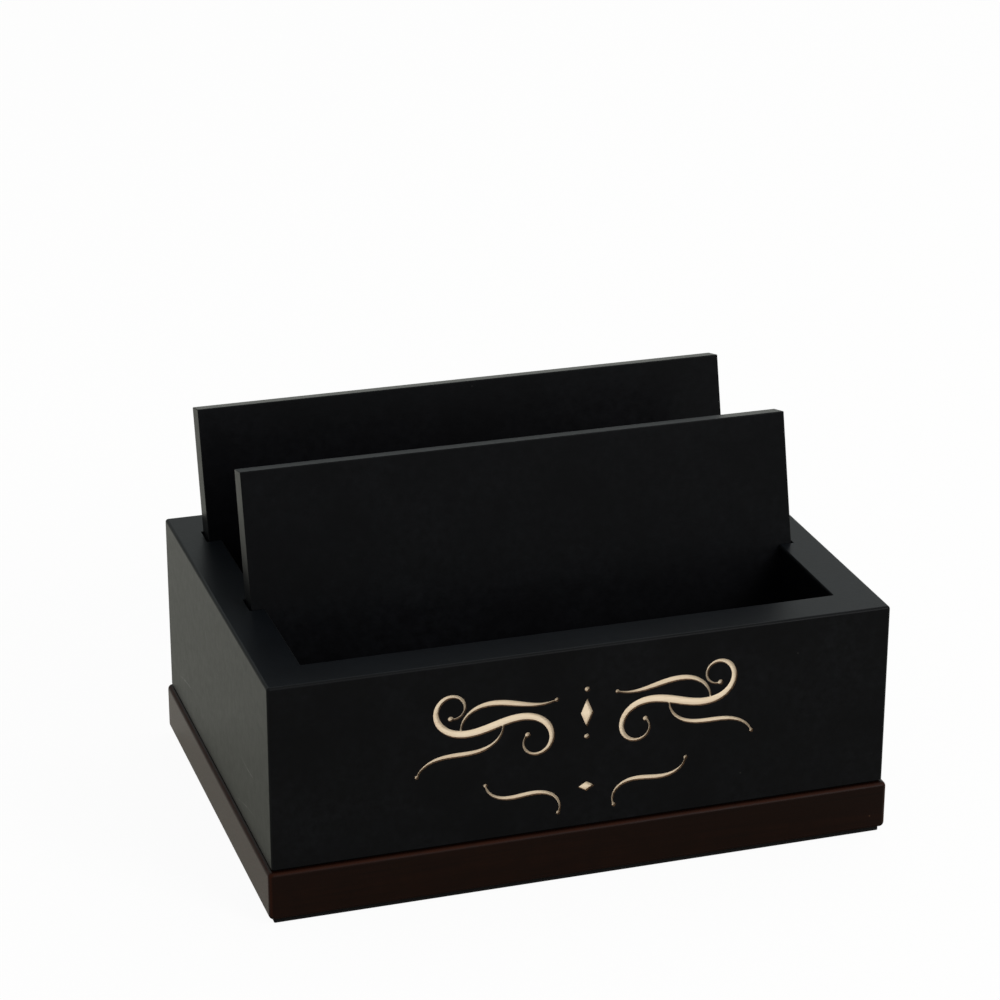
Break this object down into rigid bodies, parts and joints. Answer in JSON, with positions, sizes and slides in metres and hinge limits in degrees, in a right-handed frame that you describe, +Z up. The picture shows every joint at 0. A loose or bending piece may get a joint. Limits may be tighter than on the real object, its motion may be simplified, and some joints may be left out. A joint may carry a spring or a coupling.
{
  "type": "phone and business card holder",
  "caption": "Open-topped black wooden desk tray on a brown plinth, with leaning lift-out dividers that make a front slot for business cards and a rear slot for a phone.",
  "frame": {"origin": "on the desk, under the middle of the plinth", "axes": "+X along the front to the right, +Y from the front board to the back, +Z up"},
  "size_m": [0.12, 0.0844, 0.0715],
  "materials": {
    "tray": "satin black lacquer",
    "divider": "satin black lacquer",
    "plinth": "dark reddish-brown stain, satin",
    "felt": "black felt",
    "dowel": "bare beech",
    "screw": "zinc plated"
  },
  "bodies": {
    "tray": {"plinth": "plinth", "base_felt": "felt", "front_board": "tray", "back_board": "tray", "left_end_board": "tray", "right_end_board": "tray", "card_slot_liner": "felt", "phone_slot_liner": "felt", "dowel_front_left_lower": "dowel", "dowel_front_left_upper": "dowel", "dowel_front_right_lower": "dowel", "dowel_front_right_upper": "dowel", "dowel_back_left_lower": "dowel", "dowel_back_left_upper": "dowel", "dowel_back_right_lower": "dowel", "dowel_back_right_upper": "dowel", "plinth_screw_front_left": "screw", "plinth_screw_front_right": "screw", "plinth_screw_back_left": "screw", "plinth_screw_back_right": "screw"},
    "front_divider": {"front_divider": "divider"},
    "rear_divider": {"rear_divider": "divider"}
  },
  "joints": [
    {"name": "front_divider_lift", "type": "slide", "parent": "tray", "child": "front_divider", "axis": [0, 0.2334, 0.9724], "range_m": [0, 0.036]},
    {"name": "rear_divider_lift", "type": "slide", "parent": "tray", "child": "rear_divider", "axis": [0, 0.2334, 0.9724], "range_m": [0, 0.036]}
  ]
}
